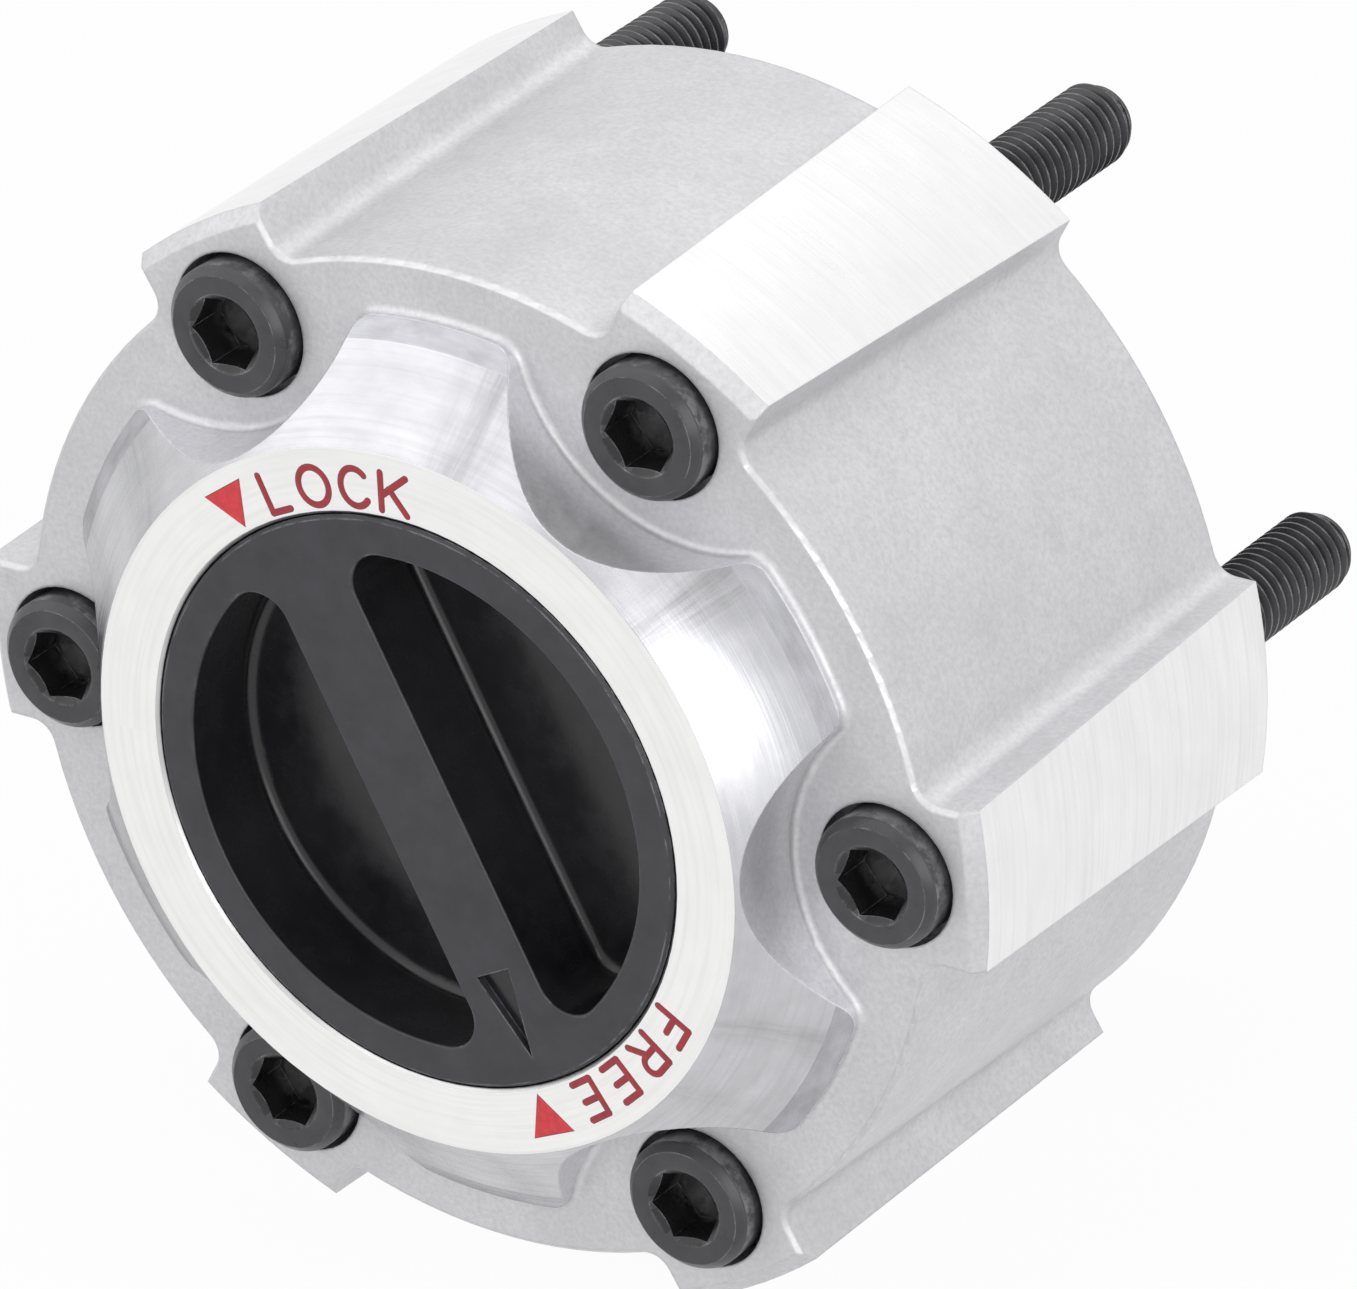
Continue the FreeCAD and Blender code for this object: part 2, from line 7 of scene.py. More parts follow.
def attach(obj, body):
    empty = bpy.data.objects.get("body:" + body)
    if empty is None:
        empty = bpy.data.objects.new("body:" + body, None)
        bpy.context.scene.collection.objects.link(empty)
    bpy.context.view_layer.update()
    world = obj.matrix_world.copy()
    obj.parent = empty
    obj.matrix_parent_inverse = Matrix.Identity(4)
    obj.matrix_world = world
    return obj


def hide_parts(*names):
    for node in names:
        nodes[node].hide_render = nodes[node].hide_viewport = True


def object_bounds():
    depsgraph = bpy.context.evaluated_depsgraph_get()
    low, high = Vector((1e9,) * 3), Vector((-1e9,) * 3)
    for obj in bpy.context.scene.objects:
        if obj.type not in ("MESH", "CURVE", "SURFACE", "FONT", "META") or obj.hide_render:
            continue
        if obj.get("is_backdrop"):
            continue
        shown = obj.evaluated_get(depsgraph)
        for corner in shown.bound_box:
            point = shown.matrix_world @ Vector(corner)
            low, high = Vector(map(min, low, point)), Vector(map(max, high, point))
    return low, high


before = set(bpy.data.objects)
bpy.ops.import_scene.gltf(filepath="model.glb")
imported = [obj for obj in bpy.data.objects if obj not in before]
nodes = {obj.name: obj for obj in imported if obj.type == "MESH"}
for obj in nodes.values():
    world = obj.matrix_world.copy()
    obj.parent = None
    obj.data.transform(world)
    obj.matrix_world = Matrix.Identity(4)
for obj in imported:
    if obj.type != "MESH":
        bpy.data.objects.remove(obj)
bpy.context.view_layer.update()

# Manual locking hub, its looks. Sizes are in metres, in the frame of the solids: the hub's axis
# is Y, the dial looks towards -Y, and the rear mounting face lies at y = 0. Angles around the
# axis are measured from +X towards +Z, as seen when facing the dial.

MM = 0.001
FRONT = -71.2 * MM
BODY_FRONT = -60.0 * MM
NOSE_FOOT = -60.95 * MM
RING_R = 43.0 * MM
LIP_R = 52.9 * MM
RIM_R = 57.0 * MM
BODY_R = 61.0 * MM
BOSS_ARC_R = 66.5 * MM
POCKET_R = 30.5 * MM
POCKET_TOP = FRONT + 0.9 * MM
DIAL_BACK = FRONT + 14.0 * MM
ABOVE = 0.05 * MM
SCREW_CIRCLE = 55.75 * MM
SEAT = -53.0 * MM
HEAD_TOP = -63.0 * MM
SCREW_TIP = 32.0 * MM


def at(radius, angle, y):
    """The point at a radius and an angle in degrees round the hub axis."""
    turn = math.radians(angle)
    return Vector((radius * math.cos(turn), y, radius * math.sin(turn)))


# Materials

class Surface:
    """A Principled material, with short calls for the nodes that colour and roughen it."""

    def __init__(self, name, color, roughness, metallic=0.0, **sockets):
        self.material = bpy.data.materials.new(name)
        self.material.use_nodes = True
        self.tree = self.material.node_tree
        self.shader = self.tree.nodes["Principled BSDF"]
        self.set(Base_Color=(*color, 1.0), Roughness=roughness, Metallic=metallic, **sockets)
        self.normal = None
        self.place = self.node("ShaderNodeTexCoord").outputs["Object"]

    def set(self, **sockets):
        for name, value in sockets.items():
            self.shader.inputs[name.replace("_", " ")].default_value = value

    def node(self, kind, inputs=None, **settings):
        made = self.tree.nodes.new(kind)
        for name, value in settings.items():
            setattr(made, name, value)
        for key, value in (inputs or {}).items():
            if isinstance(value, bpy.types.NodeSocket):
                self.tree.links.new(value, made.inputs[key])
            else:
                made.inputs[key].default_value = value
        return made

    def math(self, operation, a, b=0.0):
        return self.node("ShaderNodeMath", {0: a, 1: b}, operation=operation).outputs[0]

    def polar(self, radial=0.0, around=0.0, along=0.0):
        """Coordinates that follow a part turned on the hub axis, each scaled to its own grain."""
        split = self.node("ShaderNodeSeparateXYZ", {0: self.place}).outputs
        square = self.math("ADD", self.math("MULTIPLY", split["X"], split["X"]),
                           self.math("MULTIPLY", split["Z"], split["Z"]))
        parts = {"X": self.math("MULTIPLY", self.math("SQRT", square), radial),
                 "Y": self.math("MULTIPLY", self.math("ARCTAN2", split["Z"], split["X"]), around),
                 "Z": self.math("MULTIPLY", split["Y"], along)}
        return self.node("ShaderNodeCombineXYZ", parts).outputs[0]

    def noise(self, scale, detail, rough, where=None):
        values = {"Vector": where or self.place, "Scale": scale, "Detail": detail, "Roughness": rough}
        return self.node("ShaderNodeTexNoise", values).outputs["Fac"]

    def ramp(self, fac, *stops):
        """A colour ramp from (position, grey or colour) stops."""
        made = self.node("ShaderNodeValToRGB", {"Fac": fac})
        elements = made.color_ramp.elements
        while len(elements) < len(stops):
            elements.new(0.5)
        for element, (position, value) in zip(elements, stops):
            element.position = position
            color = (value, value, value) if isinstance(value, float) else value
            element.color = (*color, 1.0)
        return made.outputs["Color"]

    def mix(self, fac, a, b):
        """A blend of two colours, each given as a socket or as a colour."""
        made = self.node("ShaderNodeMix", data_type="RGBA")
        for index, value in ((0, fac), (6, a), (7, b)):
            if isinstance(value, bpy.types.NodeSocket):
                self.tree.links.new(value, made.inputs[index])
            else:
                made.inputs[index].default_value = (*value, 1.0) if isinstance(value, tuple) else value
        return made.outputs[2]

    def link(self, name, socket):
        self.tree.links.new(socket, self.shader.inputs[name])

    def round_edges(self, radius):
        """Softens the light on sharp edges."""
        self.normal = self.node("ShaderNodeBevel", {"Radius": radius}, samples=4).outputs[0]
        self.link("Normal", self.normal)

    def edge_mask(self, radius):
        """A mask that is white close to an edge."""
        soft = self.node("ShaderNodeBevel", {"Radius": radius}, samples=4).outputs[0]
        true = self.node("ShaderNodeNewGeometry").outputs["True Normal"]
        dot = self.node("ShaderNodeVectorMath", {0: soft, 1: true}, operation="DOT_PRODUCT").outputs["Value"]
        return self.math("SUBTRACT", 1.0, dot)

    def bump(self, height, distance, strength):
        values = {"Height": height, "Distance": distance, "Strength": strength}
        if self.normal:
            values["Normal"] = self.normal
        self.normal = self.node("ShaderNodeBump", values).outputs[0]
        self.link("Normal", self.normal)


def shade(color, factor):
    return tuple(min(1.0, factor * c) for c in color)


def cast_metal(name, color, roughness, pits):
    """Sand-blasted cast aluminium: fine grain, faint clouds and a few small pits."""
    surface = Surface(name, color, roughness, metallic=0.75)
    surface.round_edges(0.45 * MM)
    clouds = surface.noise(70.0, 5.0, 0.7)
    stains = surface.noise(260.0, 5.0, 0.7)
    speckle = surface.noise(1500.0, 2.0, 0.7)
    tone = surface.mix(surface.ramp(clouds, (0.3, 0.0), (0.7, 1.0)), shade(color, 0.91), shade(color, 1.04))
    tone = surface.mix(surface.ramp(stains, (0.6, 0.0), (0.8, 0.3)), tone, shade(color, 0.72))
    tone = surface.mix(surface.ramp(speckle, (0.35, 0.0), (0.7, 0.45)), tone, shade(color, 0.70))
    surface.link("Base Color", tone)
    surface.link("Roughness", surface.ramp(stains, (0.3, roughness - 0.08), (0.7, roughness + 0.1)))
    surface.bump(surface.noise(1500.0, 4.0, 0.7), 0.03 * MM, 0.5)
    cells = surface.node("ShaderNodeTexVoronoi", {"Vector": surface.place, "Scale": 420.0})
    spots = surface.ramp(cells.outputs["Distance"], (0.0, 0.0), (0.14, 1.0))
    spots = surface.math("MULTIPLY", spots, pits)
    surface.bump(spots, 0.05 * MM, 0.6)
    surface.bump(surface.noise(110.0, 3.0, 0.5), 0.12 * MM, 0.5)
    return surface.material


def turned_metal(name, color, roughness, radial, along, contrast, anisotropy=0.0, painted_fans=()):
    """Metal that was turned on the hub axis: fine rings, broad sheens and, on a cone, darker sectors of
    painted reflection.
    """
    surface = Surface(name, color, roughness, metallic=1.0, Anisotropic=anisotropy)
    surface.round_edges(0.2 * MM)
    fine = surface.noise(1.0, 2.0, 0.6, surface.polar(radial, 1.5, along))
    broad = surface.noise(1.0, 3.0, 0.6, surface.polar(radial / 6, 7.0, along / 6))
    tone = surface.mix(surface.ramp(broad, (0.3, 0.0), (0.7, 1.0)), shade(color, 1.0 - contrast), color)
    tone = surface.mix(surface.ramp(fine, (0.45, 0.0), (0.8, 0.5)), tone, shade(color, 0.8))
    # The fans are painted reflection: the colour is darkened in sectors round the axis, as the streaks of
    # shade that a turned cone reflects.
    if painted_fans:
        split = surface.node("ShaderNodeSeparateXYZ", {0: surface.polar(0.0, 1.0 / math.tau, 0.0)}).outputs
        stops = [(0.5 + (angle + side) / 360.0, depth if side == 0.0 else 0.0)
                 for angle, half, depth in painted_fans for side in (-half, 0.0, half)]
        painted_fan = surface.ramp(surface.math("ADD", split["Y"], 0.5), *stops)
        rays = surface.noise(34.0, 4.0, 0.7, surface.polar(50.0 / 34.0, 1.0, 50.0 / 34.0))
        painted_dark = surface.math("MULTIPLY", painted_fan, surface.ramp(rays, (0.35, 0.3), (0.65, 1.0)))
        tone = surface.mix(painted_dark, tone, shade(color, 0.5))
    surface.link("Base Color", tone)
    surface.link("Roughness", surface.ramp(fine, (0.25, roughness - 0.06), (0.75, roughness + 0.08)))
    if anisotropy:
        tangent = surface.node("ShaderNodeTangent", direction_type="RADIAL", axis="Y").outputs[0]
        surface.link("Tangent", tangent)
    surface.bump(fine, 0.02 * MM, 0.5)
    return surface.material


def black_coat(name, color, roughness, wear, wear_color, gloss=0.5, rounding=0.15):
    """A black finish that is rubbed bright on its edges."""
    surface = Surface(name, color, roughness, metallic=0.0, Specular_IOR_Level=gloss)
    surface.round_edges(rounding * MM)
    grain = surface.noise(260.0, 5.0, 0.6)
    tone = surface.mix(surface.ramp(grain, (0.35, 0.0), (0.70, 1.0)), shade(color, 0.85), shade(color, 1.5))
    specks = surface.ramp(surface.noise(330.0, 5.0, 0.7), (0.44, 0.0), (0.58, 1.0))
    edges = surface.ramp(surface.edge_mask((rounding + 0.1) * MM), (0.01, 0.0), (0.05, 1.0))
    worn = surface.math("MULTIPLY", surface.math("MULTIPLY", specks, edges), wear)
    surface.link("Base Color", surface.mix(worn, tone, wear_color))
    surface.link("Roughness", surface.ramp(grain, (0.3, roughness - 0.07), (0.7, roughness + 0.1)))
    surface.bump(surface.noise(1300.0, 3.0, 0.6), 0.015 * MM, 0.5)
    return surface.material


def oiled_steel(name, color, roughness):
    """Machined steel under a thin film of oil."""
    surface = Surface(name, color, roughness, metallic=1.0, Coat_Weight=0.15)
    surface.round_edges(0.15 * MM)
    rings = surface.noise(1.0, 2.0, 0.6, surface.polar(2600.0, 2.0, 2600.0))
    smears = surface.noise(140.0, 4.0, 0.6)
    tone = surface.mix(surface.ramp(smears, (0.35, 0.0), (0.7, 1.0)), shade(color, 0.75), color)
    surface.link("Base Color", tone)
    surface.link("Roughness", surface.ramp(smears, (0.3, roughness - 0.06), (0.7, roughness + 0.12)))
    surface.bump(rings, 0.015 * MM, 0.4)
    return surface.material


def paint(name, color):
    """Enamel wiped into the engraved letters."""
    surface = Surface(name, color, 0.38, Coat_Weight=0.2)
    patches = surface.noise(900.0, 4.0, 0.6)
    surface.link("Base Color", surface.mix(surface.ramp(patches, (0.35, 0.0), (0.7, 1.0)),
                                           shade(color, 0.7), color))
    surface.bump(patches, 0.02 * MM, 0.5)
    return surface.material


def rubber(name):
    surface = Surface(name, (0.02, 0.02, 0.02), 0.6)
    surface.bump(surface.noise(900.0, 4.0, 0.6), 0.02 * MM, 0.4)
    return surface.material


BODY = cast_metal("cast_body", (0.68, 0.675, 0.695), 0.50, 0.7)
WALL = cast_metal("cast_scallop", (0.77, 0.77, 0.80), 0.36, 0.3)
FACE = turned_metal("turned_face", (0.93, 0.925, 0.92), 0.42, 1500.0, 0.0, 0.04)
# Painted reflection: dark fans on the flare, as the angle of each, half its width and its depth
PAINTED_REFLECTION_FANS = ((-152.0, 8.0, 0.6), (-139.0, 4.0, 0.4), (-98.0, 6.0, 0.7), (-82.0, 4.0, 0.4), (-40.0, 4.0, 0.3),
        (-24.0, 4.0, 0.5), (41.0, 7.0, 0.9), (79.0, 7.0, 0.8), (143.0, 7.0, 0.6),
        (159.0, 5.0, 0.4))
FLARE = turned_metal("turned_flare_with_painted_fans", (0.60, 0.60, 0.625), 0.24, 1800.0, 1800.0, 0.14, 0.6, PAINTED_REFLECTION_FANS)
# The lip band is the flare's turned metal made darker: painted reflection of dark surroundings on that band.
LIP_PAINTED_REFLECTION = turned_metal("turned_lip_painted_reflection", (0.50, 0.50, 0.53), 0.26, 1800.0, 1800.0, 0.35)
ARC = turned_metal("turned_boss", (0.90, 0.90, 0.90), 0.30, 0.0, 1500.0, 0.06, 0.5)
BORED = turned_metal("bored_metal", (0.62, 0.62, 0.62), 0.32, 1500.0, 1500.0, 0.12)
DIAL = black_coat("black_dial", (0.028, 0.028, 0.034), 0.40, 0.8, (0.35, 0.35, 0.36))
# Painted shade: the pockets' black is darker than the dial's own, for the shade in the recesses; their lower
# roughness is real gloss.
POCKET_SHADE = black_coat("black_pocket_painted_shade", (0.010, 0.010, 0.012), 0.24, 0.4, (0.30, 0.30, 0.31))
SCREW = black_coat("black_screw", (0.034, 0.033, 0.037), 0.31, 0.8, (0.40, 0.39, 0.41), 0.55, 0.08)
# Painted shade: the hex sockets get a blacker black than the heads, for the shade inside them.
SOCKET_SHADE = black_coat("black_socket_painted_shade", (0.010, 0.010, 0.011), 0.26, 0.8, (0.30, 0.29, 0.31), 0.5, 0.05)
THREAD = black_coat("black_thread", (0.022, 0.021, 0.025), 0.28, 0.9, (0.42, 0.41, 0.44), 0.7, 0.04)
STEEL = oiled_steel("machined_steel", (0.42, 0.42, 0.43), 0.30)
RACE = oiled_steel("ground_steel", (0.62, 0.62, 0.64), 0.16)
SPRING = oiled_steel("spring_steel", (0.20, 0.20, 0.22), 0.30)
RUBBER = rubber("seal_rubber")
RED = paint("red_enamel", (0.80, 0.030, 0.042))
# The letters' red is darker than the marks' red, as painted shade in their deeper engraving.
RED_WITH_PAINTED_SHADE = paint("red_letters_painted_shade", (0.42, 0.012, 0.025))
# Painted shade: a dark rim, a little wider than each painted stroke, stands for the shadowed edges of the
# engraving.
GROOVE_SHADE_PAINT = Surface("painted_groove_shade", (0.20, 0.06, 0.07), 0.5, metallic=0.3).material


# The solids of the frame

def smooth(obj, angle=28.0):
    """Smooth shading that stays sharp at real edges."""
    mesh = obj.data
    mesh.polygons.foreach_set("use_smooth", [True] * len(mesh.polygons))
    mesh.set_sharp_from_angle(angle=math.radians(angle))


def zones(obj, materials, choose):
    """Gives each face of a solid the material that choose picks from its centre and normal."""
    mesh = obj.data
    mesh.materials.clear()
    for material in materials:
        mesh.materials.append(material)
    for polygon in mesh.polygons:
        radius = math.hypot(polygon.center.x, polygon.center.z)
        polygon.material_index = materials.index(choose(polygon.center, polygon.normal, radius))


def housing_zone(centre, normal, radius):
    """Turned metal on the nose's face and flare and on the bosses, cast metal on the rest outside."""
    if centre.y < FRONT + ABOVE:
        return FACE
    if centre.y < NOSE_FOOT and -0.95 < normal.y < -0.45 and radius > RING_R:
        # Past the lip radius the flare's band takes the darker metal of painted reflection.
        return FLARE if radius < LIP_R else LIP_PAINTED_REFLECTION
    if centre.y < BODY_FRONT + ABOVE and radius > RING_R:
        return WALL if centre.y < NOSE_FOOT and abs(normal.y) < 0.95 else BODY
    outward = (normal.x * centre.x + normal.z * centre.z) / radius
    if radius > BOSS_ARC_R and outward > 0.9:
        return ARC
    if radius > BODY_R and normal.y < 0.9:
        return BODY
    if radius > RIM_R and outward > 0 and abs(normal.y) < 0.5:
        return BODY
    return BORED


def dial_zone(centre, normal, radius):
    """The finger pockets are painted blacker than the rest of the dial, as painted shade in the recesses,
    and are glossier.
    """
    return POCKET_SHADE if radius < POCKET_R and POCKET_TOP < centre.y < DIAL_BACK else DIAL


zones(nodes["housing"], [BODY, WALL, FACE, FLARE, LIP_PAINTED_REFLECTION, ARC, BORED], housing_zone)
zones(nodes["dial"], [DIAL, POCKET_SHADE], dial_zone)
FINISH = {
    "dial_o_ring": RUBBER, "detent_ball": RACE, "detent_spring": SPRING,
    "cam_thrust_washer": STEEL, "shift_cam": STEEL, "cam_snap_ring": SPRING, "follower": STEEL,
    "follower_pin_1": RACE, "follower_pin_2": RACE, "shift_spring": SPRING, "clutch_ring": STEEL,
    "return_spring": SPRING, "spring_seat": STEEL, "drive_gear": STEEL, "gear_snap_ring": SPRING,
    "bearing_outer_race": RACE, "bearing_inner_race": RACE, "bearing_cage": STEEL,
    "bearing_snap_ring": SPRING,
}
for name, obj in nodes.items():
    smooth(obj)
    finish = RACE if name.startswith("bearing_ball") else FINISH.get(name)
    if finish:
        obj.data.materials.clear()
        obj.data.materials.append(finish)
        obj.data.polygons.foreach_set("material_index", [0] * len(obj.data.polygons))


# Pieces of their own

def piece(name, verts, faces, material, body, sharp=28.0):
    mesh = bpy.data.meshes.new(name)
    mesh.from_pydata(verts, [], faces)
    mesh.validate()
    mesh.materials.append(material)
    obj = bpy.data.objects.new(name, mesh)
    bpy.context.scene.collection.objects.link(obj)
    smooth(obj, sharp)
    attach(obj, body)
    return obj


SIDES = 72
HEAD_R = 8.0 * MM
SHANK_R = 4.8 * MM
THREAD_R = 5.0 * MM
ROOT_R = 4.1 * MM
PITCH = 1.5 * MM
TIP_CHAMFER = 1.1 * MM
FLATS = 8.0 * MM
SOCKET_DEPTH = 5.5 * MM
SOCKET_LEAD_R = 4.95 * MM
SOCKET_R = 4.8 * MM
SOCKET_END = HEAD_TOP + 8.0 * MM
SHANK_END = -2.0 * MM
RIDGE_START = -1.6 * MM
CREST_HALF = 0.095 * MM
RIDGE_SINK = 0.06 * MM
FLANK = math.tan(math.radians(30.0))
# Each screw was tightened by hand, so its socket stands at its own angle.
SOCKET_ANGLES = (6.0, 5.0, 2.0, 8.0, 4.0, 7.0)


def hexagon(angle, turn):
    """The radius of the hex socket's wall at an angle."""
    local = (angle - turn + 30.0) % 60.0 - 30.0
    return FLATS / 2 / math.cos(math.radians(30.0 - abs(local)))


def screw_loops(angles, turn):
    """The rings of one screw, from the bottom of the socket, over the head, to the thread's root."""
    def ring(radius, y):
        return [(radius, y)] * SIDES

    socket = [hexagon(angle, turn) for angle in angles]
    bottom = HEAD_TOP + SOCKET_DEPTH
    lead = SOCKET_LEAD_R
    return [ring(0.4 * MM, bottom + 1.7 * MM), ring(3.75 * MM, bottom + 0.05 * MM),
            [(radius - 0.05 * MM, bottom) for radius in socket],
            [(radius, bottom - 0.1 * MM) for radius in socket],
            [(radius, HEAD_TOP + (lead - radius) * 0.7 + 0.06 * MM) for radius in socket],
            [(max(radius, lead - 0.1 * MM), HEAD_TOP + 0.05 * MM) for radius in socket],
            ring(lead + 0.1 * MM, HEAD_TOP), ring(6.2 * MM, HEAD_TOP), ring(7.05 * MM, HEAD_TOP),
            ring(7.12 * MM, HEAD_TOP + 0.05 * MM), ring(7.88 * MM, HEAD_TOP + 0.82 * MM),
            ring(HEAD_R, HEAD_TOP + 1.05 * MM), ring(HEAD_R, SEAT - 0.3 * MM),
            ring(HEAD_R - 0.3 * MM, SEAT), ring(SHANK_R + 0.3 * MM, SEAT), ring(SHANK_R, SEAT + 0.3 * MM),
            ring(SHANK_R, SHANK_END), ring(ROOT_R, SHANK_END + 0.8 * MM),
            ring(ROOT_R, SCREW_TIP - (ROOT_R - THREAD_R + TIP_CHAMFER)),
            ring(THREAD_R - TIP_CHAMFER, SCREW_TIP), ring(2.0 * MM, SCREW_TIP)]


def thread_ridge(turn):
    """The thread as a helical ridge with 60 degree flanks and a narrow flat crest."""
    sunk = ROOT_R - RIDGE_SINK
    sections = []
    steps = int((SCREW_TIP - SHANK_END) / PITCH * SIDES)
    for i in range(steps):
        y = RIDGE_START + PITCH * i / SIDES
        crest = min(THREAD_R, THREAD_R - (y + 0.4 * MM - (SCREW_TIP - TIP_CHAMFER)))
        if crest < ROOT_R:
            break
        foot = CREST_HALF + (crest - sunk) * FLANK
        angle = turn + 360.0 * i / SIDES
        sections.append([at(sunk, angle, y - foot), at(crest, angle, y - CREST_HALF),
                         at(crest, angle, y + CREST_HALF), at(sunk, angle, y + foot)])
    return sections


def skin(verts, faces, sections):
    """Adds a closed skin over equal sections, from the first to the last."""
    base = len(verts)
    count = len(sections[0])
    for section in sections:
        verts.extend(section)
    for k in range(len(sections) - 1):
        a = base + k * count
        b = a + count
        faces.extend((a + i, a + (i + 1) % count, b + (i + 1) % count, b + i) for i in range(count))
    faces.append(tuple(base + i for i in reversed(range(count))))
    last = base + (len(sections) - 1) * count
    faces.append(tuple(last + i for i in range(count)))


def cap_screws():
    """The six screws as one piece, black on the heads, blacker in the sockets as painted shade, and rubbed
    on the threads.
    """
    verts = []
    faces = []
    for number, turn in enumerate(SOCKET_ANGLES):
        centre = at(SCREW_CIRCLE, 60.0 * number, 0.0)
        angles = [turn + 360.0 * i / SIDES for i in range(SIDES)]
        rings = [[centre + at(radius, angle, y) for angle, (radius, y) in zip(angles, loop)]
                 for loop in screw_loops(angles, turn)]
        skin(verts, faces, rings)
        skin(verts, faces, [[centre + point for point in section] for section in thread_ridge(17.0 * turn)])
    obj = piece("cap_screws_threaded", verts, faces, SCREW, "hub_body", 30.0)
    obj.data.materials.append(THREAD)
    obj.data.materials.append(SOCKET_SHADE)
    for polygon in obj.data.polygons:
        centre = polygon.center
        nearest = 60.0 * round(math.degrees(math.atan2(centre.z, centre.x)) / 60.0)
        off_axis = (centre - at(SCREW_CIRCLE, nearest, centre.y)).length
        if centre.y > SHANK_END:
            polygon.material_index = 1
        # Faces inside the hex socket take the painted shade.
        elif off_axis < SOCKET_R and HEAD_TOP + 0.3 * MM < centre.y < SOCKET_END:
            polygon.material_index = 2
    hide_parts("cap_screws")


cap_screws()


# Letters, drawn in a box 1 wide and 1 high, as strokes from point to point
def bow(x, y, wide, high, first, last, step=12):
    """Points on an ellipse, from one angle to another."""
    return [(x + wide * math.cos(math.radians(a)), y + high * math.sin(math.radians(a)))
            for a in range(first, last + 1, step)]


LETTERS = {
    "L": [[(0, 1), (0, 0)], [(0, 0), (1, 0)]],
    "O": [bow(0.5, 0.5, 0.5, 0.5, 0, 348)],
    "C": [bow(0.54, 0.5, 0.54, 0.5, 42, 318)],
    "K": [[(0, 0), (0, 1)], [(1, 1), (0, 0.38)], [(0.34, 0.60), (1, 0)]],
    "F": [[(0, 0), (0, 1)], [(0, 1), (1, 1)], [(0, 0.52), (0.8, 0.52)]],
    "R": [[(0, 0), (0, 1)], [(0, 1), *bow(0.66, 0.74, 0.34, 0.26, -90, 90)[::-1], (0, 0.48)],
          [(0.55, 0.48), (1, 0)]],
    "E": [[(1, 0), (0, 0)], [(0, 0), (0, 1)], [(0, 1), (1, 1)], [(0, 0.52), (0.85, 0.52)]],
}
STROKE = 0.72 * MM
LETTER_R = 36.3 * MM
LETTER_HEIGHT = 4.55 * MM
WORDS = [("L", 114.7, 2.7), ("O", 105.9, 4.1), ("C", 97.4, 3.6), ("K", 89.4, 3.4),
         ("F", -30.4, 2.8), ("R", -38.2, 3.2), ("E", -47.0, 2.8), ("E", -55.3, 2.8)]
MARKS = (124.6, -66.2)
MARK_HALF = 3.0 * MM
MARK_TOP = 4.85 * MM
MARK_APEX = -0.1 * MM
PAINT_HEIGHT = 0.04 * MM
SHADE_RIM_WIDTH = 0.09 * MM
SHADE_RIM_HEIGHT = 0.015 * MM
ROUND_END = (0.1, 0.4, 0.8, 1.2)


def on_face(x, height, angle, y=0.0):
    """A point of a letter, with x along its line and height away from the hub axis."""
    return at(LETTER_R + height, angle, y) + at(x, angle - 90.0, 0.0)


def stroke(curve, points, half, closed):
    """Adds one line with round ends to a curve."""
    path = [(point, 1.0) for point in points]
    if not closed:
        start, end = points[0], points[-1]
        lead = (start - points[1]).normalized() * half
        tail = (end - points[-2]).normalized() * half
        path = [(start + lead * math.cos(t), math.sin(t)) for t in ROUND_END] + path
        path += [(end + tail * math.cos(t), math.sin(t)) for t in reversed(ROUND_END)]
    spline = curve.splines.new("POLY")
    spline.points.add(len(path) - 1)
    spline.use_cyclic_u = closed
    for point, (place, radius) in zip(spline.points, path):
        point.co = (*place, 1.0)
        point.radius = radius


def lettering(name, half, height, material):
    """The words LOCK and FREE as low ridges of paint on the dial's ring."""
    curve = bpy.data.curves.new(name, "CURVE")
    curve.dimensions = "3D"
    curve.bevel_depth = half
    curve.bevel_resolution = 3
    curve.materials.append(material)
    for letter, angle, width in WORDS:
        for line in LETTERS[letter]:
            points = [on_face((x - 0.5) * width * MM, y * LETTER_HEIGHT, angle) for x, y in line]
            stroke(curve, points, half, letter == "O")
    obj = bpy.data.objects.new(name, curve)
    obj.location.y = FRONT
    obj.scale.y = height / half
    bpy.context.scene.collection.objects.link(obj)
    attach(obj, "hub_body")


def marks(name, half, height, material):
    """The triangle that marks each position, with its apex towards the dial."""
    verts = []
    faces = []
    for angle in MARKS:
        for grow, y in ((half, FRONT + 0.01 * MM), (half - height, FRONT - height)):
            side = MARK_HALF + grow
            top = MARK_TOP + grow
            corners = [(0.0, MARK_APEX - 1.7 * grow), (-side, top), (side, top)]
            verts.extend(on_face(x, z, angle, y) for x, z in corners)
        base = len(verts) - 6
        faces.append((base + 3, base + 4, base + 5))
        faces.extend((base + i, base + (i + 1) % 3, base + 3 + (i + 1) % 3, base + 3 + i) for i in range(3))
    piece(name, verts, faces, material, "hub_body")


# Each letter and mark sits on a wider dark ridge of painted shade, for the shadowed edges of its engraving.
lettering("letter_painted_shade", STROKE / 2 + SHADE_RIM_WIDTH, SHADE_RIM_HEIGHT, GROOVE_SHADE_PAINT)
lettering("letter_paint", STROKE / 2, PAINT_HEIGHT, RED_WITH_PAINTED_SHADE)
marks("mark_painted_shade", SHADE_RIM_WIDTH, SHADE_RIM_HEIGHT, GROOVE_SHADE_PAINT)
marks("mark_paint", 0.0, PAINT_HEIGHT, RED)


# The studio

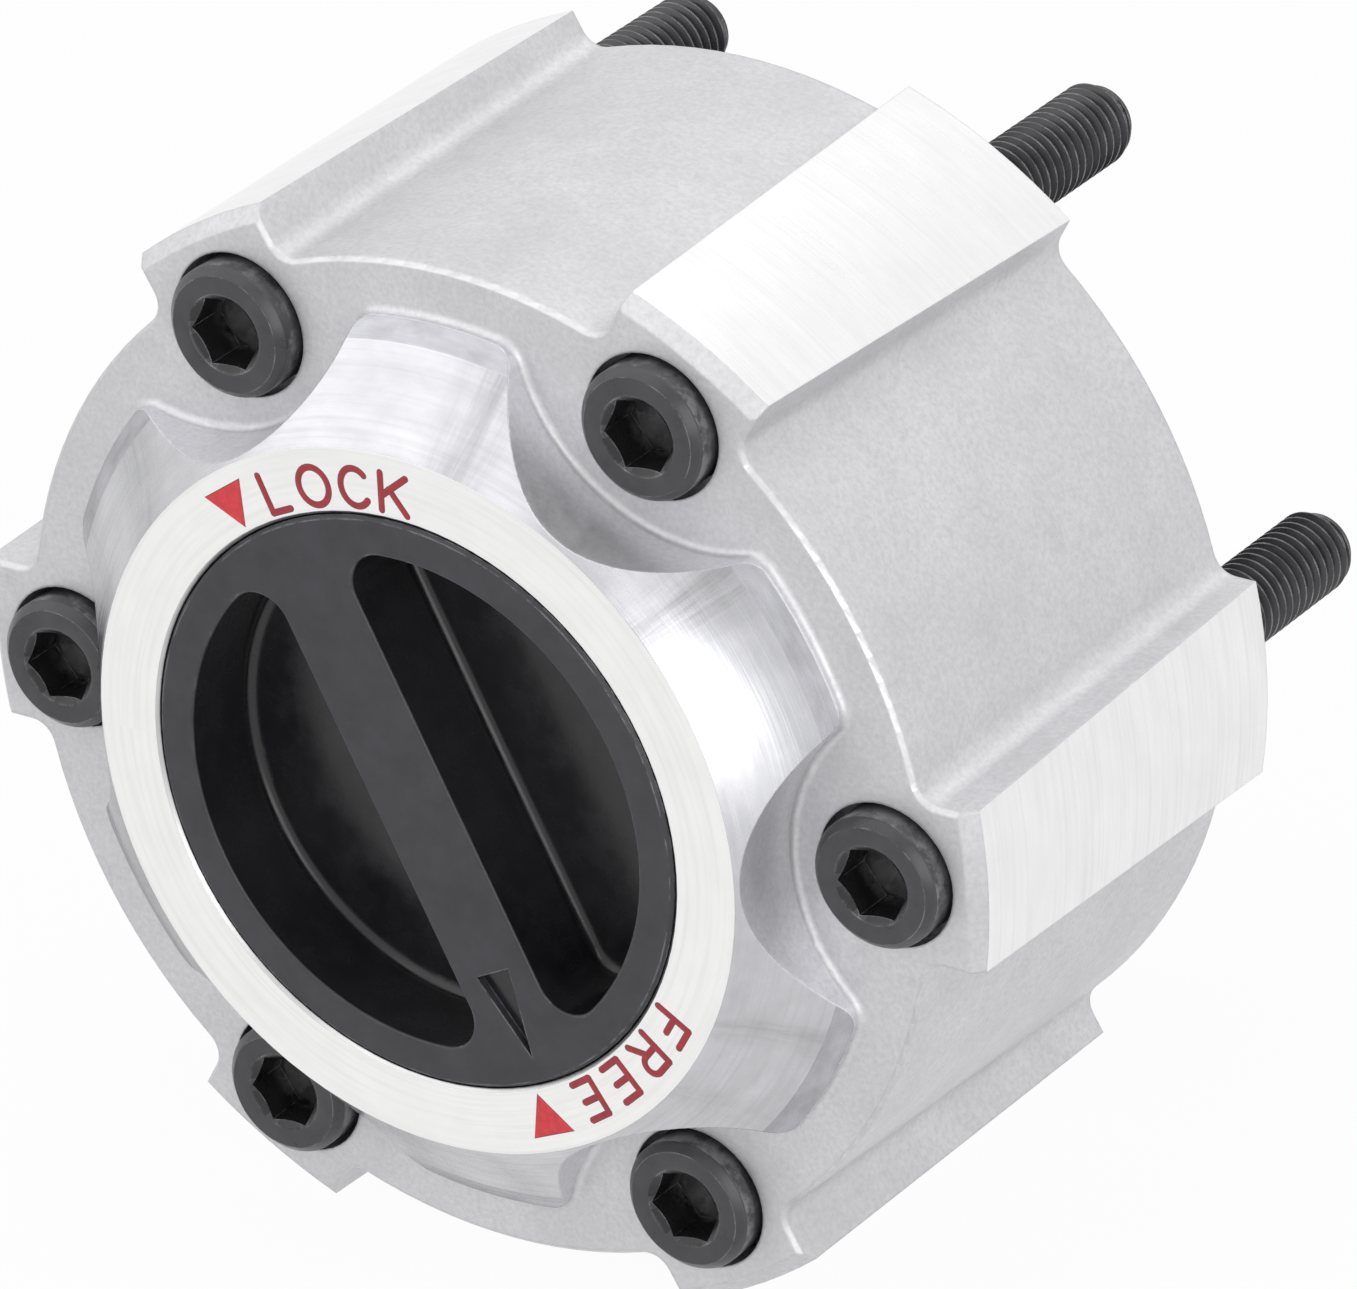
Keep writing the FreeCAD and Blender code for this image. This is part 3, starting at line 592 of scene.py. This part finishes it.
def plain(name, grey, white_for_camera, white_for_gloss):
    """A matt floor that is nearly white to the camera and to gloss but keeps the object's shadow."""
    surface = Surface(name, (grey, grey, grey), 0.9)
    tree = surface.tree
    glow = surface.node("ShaderNodeEmission", {"Color": (1, 1, 1, 1), "Strength": 1.0})
    path = surface.node("ShaderNodeLightPath").outputs
    fac = surface.math("MAXIMUM", surface.math("MULTIPLY", path["Is Camera Ray"], white_for_camera),
                       surface.math("MULTIPLY", path["Is Glossy Ray"], white_for_gloss))
    blend = surface.node("ShaderNodeMixShader", {0: fac, 1: surface.shader.outputs[0], 2: glow.outputs[0]})
    tree.links.new(blend.outputs[0], tree.nodes["Material Output"].inputs[0])
    return surface.material


def floor():
    """A wide floor under the lowest point of the hub."""
    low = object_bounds()[0].z
    half = 4.0
    corners = [(-half, -half, low), (half, -half, low), (half, half, low), (-half, half, low)]
    mesh = bpy.data.meshes.new("floor")
    mesh.from_pydata(corners, [], [(0, 1, 2, 3)])
    mesh.materials.append(plain("floor", grey=0.82, white_for_camera=0.95, white_for_gloss=0.9))
    obj = bpy.data.objects.new("floor", mesh)
    bpy.context.scene.collection.objects.link(obj)
    obj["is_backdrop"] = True


AIM = Vector((0, -20.0 * MM, 0))


def area_light(name, place, size, power):
    """A square soft light that faces the object."""
    data = bpy.data.lights.new(name, "AREA")
    data.shape = "SQUARE"
    data.size = size
    data.energy = power
    obj = bpy.data.objects.new(name, data)
    obj.location = place
    obj.rotation_euler = (AIM - Vector(place)).to_track_quat("-Z", "Y").to_euler()
    bpy.context.scene.collection.objects.link(obj)


def sky():
    """A white room: white to the camera and to gloss, and softer as a light."""
    world = bpy.data.worlds.new("studio")
    world.use_nodes = True
    bpy.context.scene.world = world
    tree = world.node_tree
    background = tree.nodes["Background"]
    path = tree.nodes.new("ShaderNodeLightPath")
    seen = tree.nodes.new("ShaderNodeMath")
    seen.operation = "MAXIMUM"
    tree.links.new(path.outputs["Is Camera Ray"], seen.inputs[0])
    tree.links.new(path.outputs["Is Glossy Ray"], seen.inputs[1])
    strength = tree.nodes.new("ShaderNodeMapRange")
    strength.inputs["To Min"].default_value = 0.52
    strength.inputs["To Max"].default_value = 1.0
    tree.links.new(seen.outputs[0], strength.inputs["Value"])
    tree.links.new(strength.outputs[0], background.inputs["Strength"])
    background.inputs["Color"].default_value = (1, 1, 1, 1)


def camera():
    """The photograph's viewing angle, worked out from the circles of the dial and the screws."""
    azimuth = math.radians(35.6514)
    elevation = math.radians(26.7742)
    roll = math.radians(-3.3889)
    back = Vector((math.sin(azimuth) * math.cos(elevation), -math.cos(azimuth) * math.cos(elevation),
                   math.sin(elevation)))
    level = Vector((math.cos(azimuth), math.sin(azimuth), 0))
    upright = back.cross(level)
    right = math.cos(roll) * level + math.sin(roll) * upright
    up = -math.sin(roll) * level + math.cos(roll) * upright
    data = bpy.data.cameras.new("camera")
    data.sensor_width = 36.0
    data.lens = 300.54
    data.clip_end = 20.0
    obj = bpy.data.objects.new("camera", data)
    place = Vector((0, FRONT, 0)) + 29.63 * MM * right + 17.82 * MM * up + 1.2625 * back
    turn = Matrix((right, up, back)).transposed()
    obj.matrix_world = Matrix.Translation(place) @ turn.to_4x4()
    bpy.context.scene.collection.objects.link(obj)
    bpy.context.scene.camera = obj


floor()
area_light("key", (-1.0, -0.9, 1.3), 2.4, 12.0)
area_light("fill", (1.5, -0.95, 0.45), 1.4, 12.0)
area_light("top", (0.2, 0.3, 1.6), 1.6, 7.0)
sky()
camera()
bpy.context.scene.view_settings.view_transform = "Standard"
